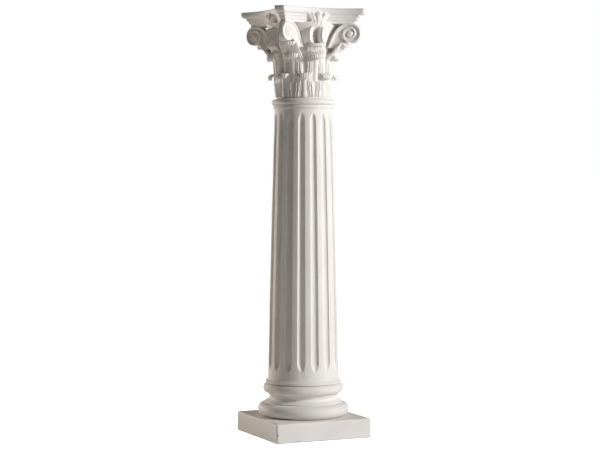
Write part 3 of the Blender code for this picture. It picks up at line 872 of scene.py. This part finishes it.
@dataclass
class Flower:
    """Bud with folded petals on the middle of each side of the abacus."""

    distance: float = 0.0675
    below_top: float = 0.0200
    bud: tuple[float, float, float] = (0.0165, 0.0100, 0.0172)
    swirls: int = 5
    swirl_depth: float = 0.0016
    petal: tuple[float, float, float] = (0.0085, 0.0048, 0.0150)
    petal_offsets: tuple[float, ...] = (0.0112, 0.0178)
    petal_drops: tuple[float, ...] = (0.0006, -0.0012)
    petal_out: float = 0.0045
    petal_turn: float = math.radians(16.0)
    petal_wave: float = 0.0024
    columns: int = 48
    rows: int = 30

    def egg(self, sizes: tuple[float, float, float], swirls: int, depth: float, wave: float) -> np.ndarray:
        """Return an egg-shaped body round the origin.

        Args:
            sizes: Its half sizes.
            swirls: How many grooves wind round it.
            depth: How deep the grooves are.
            wave: How far it waves sideways along its height.

        Returns:
            Points as (rows, columns, 3).
        """
        tilt = np.linspace(-0.48 * math.pi, 0.48 * math.pi, self.rows)[:, None]
        angle = np.linspace(0.0, 2.0 * math.pi, self.columns, endpoint=False)[None, :]
        groove = (0.5 + 0.5 * np.cos(swirls * angle + 1.6 * tilt)) ** 3 if swirls else np.zeros_like(angle * tilt)
        girth = np.cos(tilt) ** 0.85 - groove * depth / sizes[0]
        points = np.stack([sizes[0] * girth * np.cos(angle),
                           sizes[1] * girth * np.sin(angle) + wave * np.sin(3.2 * tilt),
                           np.broadcast_to(sizes[2] * np.sin(tilt), girth.shape)], axis=-1)
        return points

    def add_to(self, clay: Clay) -> None:
        """Add the four flowers to the clay of the capital."""
        level = TOTAL_HEIGHT - self.below_top
        for side in range(SIDES):
            turn = Matrix.Rotation(0.5 * math.pi * side, 4, "Z")
            self.place(clay, self.egg(self.bud, self.swirls, self.swirl_depth, 0.0),
                       turn @ Matrix.Translation((self.distance, 0.0, level)))
            for hand in Hand:
                for offset, drop in zip(self.petal_offsets, self.petal_drops):
                    petal = self.egg(self.petal, 2, 0.0012, self.petal_wave * hand.value)
                    lean = -hand.value * self.petal_turn * offset / self.petal_offsets[-1]
                    out = self.distance + self.petal_out + 0.25 * (self.petal_offsets[-1] - offset)
                    shift = Matrix.Translation((out, hand.value * offset, level - drop))
                    self.place(clay, petal, turn @ shift @ Matrix.Rotation(lean, 4, "X"))

    def place(self, clay: Clay, points: np.ndarray, placing: Matrix) -> None:
        """Put a body's points in place and add them to the clay."""
        matrix = np.array(placing)
        clay.add_stack(points @ matrix[:3, :3].T + matrix[:3, 3])


@dataclass
class Capital:
    """Leafed capital: its forms are fused in clay, softened as a cast is, and thinned."""

    bell: Bell = field(default_factory=Bell)
    abacus: Abacus = field(default_factory=Abacus)
    corner_scroll: CornerScroll = field(default_factory=CornerScroll)
    left_scroll: InnerScroll = InnerScroll(-0.0080, 0.0740, math.radians(33.0), 0.030)
    right_scroll: InnerScroll = InnerScroll(0.0157, 0.0795, math.radians(43.0), 0.012)
    flower: Flower = field(default_factory=Flower)
    voxel: float = 0.00085
    softening: float = 0.45
    softening_rounds: int = 2
    triangles: int = 136000

    def leaf_rows(self) -> list[LeafRow]:
        """Return both rows of leaves, and the small leaves that carry the scrolls."""
        big = (Finger(0.70, 0.215, -0.12, 0.80), Finger(0.42, 0.125, 0.30, 0.97, 0.05),
               Finger(0.86, 0.10, -0.15, 0.28, 0.10))
        small = tuple(Finger(middle, 0.135, -0.10, 0.98 - 0.25 * middle, 0.05 * middle)
                      for middle in (0.13, 0.39, 0.65, 0.88))
        turn = math.radians(215.0)
        return [
            LeafRow(8, 0.5, (0.0560, 0.004), (0.0600, 0.0455), 0.0070, turn, big),
            LeafRow(8, 0.0, (0.0580, 0.036), (0.0645, 0.0890), 0.0085, turn, big),
            LeafRow(4, 0.5, (0.0600, 0.080), (0.0930, 0.1155), 0.0058, math.radians(165.0), small,
                    waist_from=1.2, waist=0.93, midrib=0.0, comb_depth=0.0022, comb=7),
            LeafRow(4, 0.0, (0.0580, 0.085), (0.0720, 0.1120), 0.0050, math.radians(165.0), small,
                    waist_from=1.2, waist=0.90, midrib=0.0, comb=9),
        ]

    def build(self) -> bpy.types.Object:
        """Build the capital as one closed body.

        Returns:
            The capital as an object.
        """
        clay = Clay()
        self.bell.add_to(clay)
        self.abacus.add_to(clay)
        for row in self.leaf_rows():
            row.add_to(clay)
        self.corner_scroll.add_to(clay)
        self.left_scroll.add_to(clay)
        self.right_scroll.add_to(clay)
        self.flower.add_to(clay)
        body = clay.to_object("capital")
        fusing = body.modifiers.new("fused", "REMESH")
        fusing.mode = "VOXEL"
        fusing.voxel_size = self.voxel
        softening = body.modifiers.new("softened", "SMOOTH")
        softening.factor = self.softening
        softening.iterations = self.softening_rounds
        baked(body)
        log.info("capital fused: %d triangles", triangles_in(body))
        return thinned(body, self.triangles)


@dataclass(frozen=True)
class PlasterFinish:
    """Dry white casting plaster: slightly uneven in colour and sheen, with fine grain and pinholes."""

    name: str = "white_plaster"
    light: tuple[float, float, float, float] = (0.90, 0.885, 0.865, 1.0)
    dull: tuple[float, float, float, float] = (0.83, 0.81, 0.78, 1.0)
    # warm brown of the painted shade that darkens creases and hollows
    painted_shade_colour: tuple[float, float, float, float] = (0.66, 0.60, 0.53, 1.0)
    roughness: tuple[float, float] = (0.50, 0.68)

    def build(self) -> bpy.types.Material:
        """Make the material with its nodes.

        Returns:
            The material.
        """
        material = bpy.data.materials.new(self.name)
        material.use_nodes = True
        nodes = material.node_tree.nodes
        links = material.node_tree.links
        shader = nodes["Principled BSDF"]
        shader.inputs["Metallic"].default_value = 0.0
        shader.inputs["Specular IOR Level"].default_value = 0.42
        place = nodes.new("ShaderNodeTexCoord")

        def noise(scale: float, detail: float) -> bpy.types.Node:
            """Return a noise of a given scale over the object."""
            node = nodes.new("ShaderNodeTexNoise")
            node.inputs["Scale"].default_value = scale
            node.inputs["Detail"].default_value = detail
            links.new(place.outputs["Object"], node.inputs["Vector"])
            return node

        def ramp(source: bpy.types.NodeSocket, low: float, high: float, start: float = 0.0,
                 end: float = 1.0) -> bpy.types.Node:
            """Return a node that spreads a narrow band of values from start to end."""
            node = nodes.new("ShaderNodeMapRange")
            node.inputs["To Min"].default_value = start
            node.inputs["To Max"].default_value = end
            node.inputs["From Min"].default_value = low
            node.inputs["From Max"].default_value = high
            links.new(source, node.inputs["Value"])
            return node

        def mix(share: bpy.types.NodeSocket, first: object, second: object) -> bpy.types.Node:
            """Return a colour mix of two colours or sockets."""
            node = nodes.new("ShaderNodeMix")
            node.data_type = "RGBA"
            links.new(share, node.inputs["Factor"])
            for socket, value in ((node.inputs["A"], first), (node.inputs["B"], second)):
                if isinstance(value, bpy.types.NodeSocket):
                    links.new(value, socket)
                else:
                    socket.default_value = value
            return node

        patches = ramp(noise(9.0, 4.0).outputs["Fac"], 0.35, 0.70)
        colour = mix(patches.outputs["Result"], self.light, self.dull)
        # Painted shade: the occlusion node darkens creases and hollows toward a warm brown, where shade falls.
        occlusion_probe = nodes.new("ShaderNodeAmbientOcclusion")
        occlusion_probe.inputs["Distance"].default_value = 0.008
        occlusion_probe.samples = 8
        painted_shade_mask = ramp(occlusion_probe.outputs["AO"], 0.55, 0.10)
        painted_shade_share = nodes.new("ShaderNodeMath")
        painted_shade_share.operation = "MULTIPLY"
        links.new(painted_shade_mask.outputs["Result"], painted_shade_share.inputs[0])
        painted_shade_share.inputs[1].default_value = 0.45
        colour = mix(painted_shade_share.outputs[0], colour.outputs["Result"], self.painted_shade_colour)
        links.new(colour.outputs["Result"], shader.inputs["Base Color"])

        sheen = ramp(noise(26.0, 3.0).outputs["Fac"], 0.3, 0.7, *self.roughness)
        links.new(sheen.outputs["Result"], shader.inputs["Roughness"])

        holes = nodes.new("ShaderNodeTexVoronoi")
        holes.inputs["Scale"].default_value = 55.0
        links.new(place.outputs["Object"], holes.inputs["Vector"])
        pinholes = ramp(holes.outputs["Distance"], 0.0, 0.05)
        normal = None
        for height, strength, distance in ((noise(900.0, 3.0).outputs["Fac"], 0.16, 0.0004),
                                           (noise(70.0, 2.0).outputs["Fac"], 0.30, 0.0012),
                                           (pinholes.outputs["Result"], 0.5, 0.0006)):
            bump = nodes.new("ShaderNodeBump")
            bump.inputs["Strength"].default_value = strength
            bump.inputs["Distance"].default_value = distance
            links.new(height, bump.inputs["Height"])
            if normal is not None:
                links.new(normal, bump.inputs["Normal"])
            normal = bump.outputs["Normal"]
        links.new(normal, shader.inputs["Normal"])
        return material


@dataclass(frozen=True)
class FloorFinish:
    """Pale matt finish of the flat floor under the pedestal."""

    name: str = "pale_sweep"
    color: tuple[float, float, float, float] = (0.93, 0.93, 0.93, 1.0)
    glow: float = 1.05

    def build(self) -> bpy.types.Material:
        """Make the material with its nodes.

        Returns:
            The material.
        """
        material = bpy.data.materials.new(self.name)
        material.use_nodes = True
        nodes = material.node_tree.nodes
        links = material.node_tree.links
        shader = nodes["Principled BSDF"]
        shader.inputs["Base Color"].default_value = self.color
        shader.inputs["Roughness"].default_value = 0.9
        shader.inputs["Specular IOR Level"].default_value = 0.1
        shader.inputs["Emission Color"].default_value = (1.0, 1.0, 1.0, 1.0)
        rays = nodes.new("ShaderNodeLightPath")
        bright = nodes.new("ShaderNodeMath")
        bright.operation = "MULTIPLY"
        bright.inputs[1].default_value = self.glow
        links.new(rays.outputs["Is Camera Ray"], bright.inputs[0])
        links.new(bright.outputs[0], shader.inputs["Emission Strength"])
        return material


@dataclass
class Studio:
    """Floor, soft lights and the camera of the photograph."""

    focal_pixels: float = 1673.0
    frame_width: float = 600.0
    sensor: float = 36.0
    turn: float = math.radians(24.30)
    distance: float = 3.6138
    height: float = 0.5667
    pitch: float = math.radians(1.80)
    yaw: float = math.radians(0.112)
    floor_half: float = 12.0

    def add_camera(self) -> bpy.types.Object:
        """Add the camera at the photograph's place.

        Returns:
            The camera.
        """
        data = bpy.data.cameras.new("photo_camera")
        data.sensor_width = self.sensor
        data.lens = self.focal_pixels * self.sensor / self.frame_width
        camera = linked("photo_camera", data)
        place = Vector((-self.distance * math.sin(self.turn), -self.distance * math.cos(self.turn), self.height))
        look = Matrix.Rotation(self.yaw - self.turn, 3, "Z") @ Matrix.Rotation(-self.pitch, 3, "X")
        upright = Matrix(((1, 0, 0), (0, 0, -1), (0, 1, 0)))
        camera.matrix_world = Matrix.Translation(place) @ (look @ upright).to_4x4()
        bpy.context.scene.camera = camera
        return camera

    def add_light(self, name: str, azimuth: float, elevation: float, distance: float, size: float,
                  power: float, color: tuple[float, float, float]) -> bpy.types.Object:
        """Add one soft light that points at the middle of the pedestal.

        Args:
            name: The light's name.
            azimuth: Degrees to the right of the camera, seen from the pedestal.
            elevation: Degrees above level.
            distance: How far off it stands.
            size: Side of its square panel.
            power: Its power in watts.
            color: Its colour.

        Returns:
            The light.
        """
        data = bpy.data.lights.new(name, "AREA")
        data.size = size
        data.energy = power
        data.color = color
        light = linked(name, data)
        heading = -0.5 * math.pi - self.turn + math.radians(azimuth)
        level = math.radians(elevation)
        middle = Vector((0.0, 0.0, 0.5 * TOTAL_HEIGHT))
        away = Vector((math.cos(level) * math.cos(heading), math.cos(level) * math.sin(heading), math.sin(level)))
        light.location = middle + away * distance
        light.rotation_euler = (-away).to_track_quat("-Z", "Y").to_euler()
        return light

    def add_lights(self) -> None:
        """Add the key from the right, a warm fill from behind on the left and a pale surround."""
        self.add_light("key", 66.0, 20.0, 3.0, 0.6, 74.0, (1.0, 0.985, 0.975))
        self.add_light("fill", -125.0, 8.0, 2.8, 1.6, 45.0, (1.0, 0.90, 0.80))
        world = bpy.data.worlds.new("surround")
        bpy.context.scene.world = world
        world.use_nodes = True
        nodes = world.node_tree.nodes
        links = world.node_tree.links
        rays = nodes.new("ShaderNodeLightPath")
        seen = nodes.new("ShaderNodeBackground")
        seen.inputs["Color"].default_value = (1.0, 1.0, 1.0, 1.0)
        seen.inputs["Strength"].default_value = 1.0
        unseen = nodes["Background"]
        unseen.inputs["Color"].default_value = (1.0, 0.86, 0.72, 1.0)
        unseen.inputs["Strength"].default_value = 0.06
        either = nodes.new("ShaderNodeMixShader")
        links.new(rays.outputs["Is Camera Ray"], either.inputs[0])
        links.new(unseen.outputs[0], either.inputs[1])
        links.new(seen.outputs[0], either.inputs[2])
        links.new(either.outputs[0], nodes["World Output"].inputs["Surface"])

    def add_floor(self) -> bpy.types.Object:
        """Add the pale floor.

        Returns:
            The floor.
        """
        mesh = bpy.data.meshes.new("floor")
        reach = self.floor_half
        mesh.from_pydata([(-reach, -reach, 0.0), (reach, -reach, 0.0), (reach, reach, 0.0), (-reach, reach, 0.0)],
                         [], [(0, 1, 2, 3)])
        mesh.materials.append(FloorFinish().build())
        floor = linked("floor", mesh)
        return floor


@dataclass
class Pedestal:
    """The whole casting."""

    plinth: Plinth = field(default_factory=Plinth)
    column: Column = field(default_factory=Column)
    capital: Capital = field(default_factory=Capital)
    smooth_angle: float = math.radians(34.0)

    def build(self) -> bpy.types.Object:
        """Fuse the plinth, the column and the capital into one closed body.

        Returns:
            The pedestal as an object.
        """
        body = self.capital.build()
        body.name = PIECE_NAME
        for part in (self.column.build(), self.plinth.build()):
            fusing = body.modifiers.new(part.name, "BOOLEAN")
            fusing.operation = "UNION"
            fusing.object = part
            fusing.solver = "MANIFOLD"
            baked(body)
            bpy.data.objects.remove(part, do_unlink=True)
        return body

    def dress(self, body: bpy.types.Object) -> None:
        """Give the casting its finish and tie it to the frame."""
        body.data.materials.clear()
        body.data.materials.append(PlasterFinish().build())
        body.data.polygons.foreach_set("material_index", [0] * len(body.data.polygons))
        body.data.shade_smooth()
        body.data.set_sharp_from_angle(angle=self.smooth_angle)
        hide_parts(NODE_NAME)
        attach(body, "root")


def main() -> None:
    """Build the studio and the pedestal, and report each piece."""
    logging.basicConfig(level=logging.INFO, format="%(name)s: %(message)s")
    bpy.context.scene.view_settings.view_transform = "Standard"
    studio = Studio()
    studio.add_camera()
    studio.add_lights()
    log.info("stage: %s", studio.add_floor().name)
    pedestal = Pedestal()
    body = pedestal.build()
    pedestal.dress(body)
    log.info("piece: %s with %d triangles", body.name, triangles_in(body))


if __name__ == "__main__":
    main()
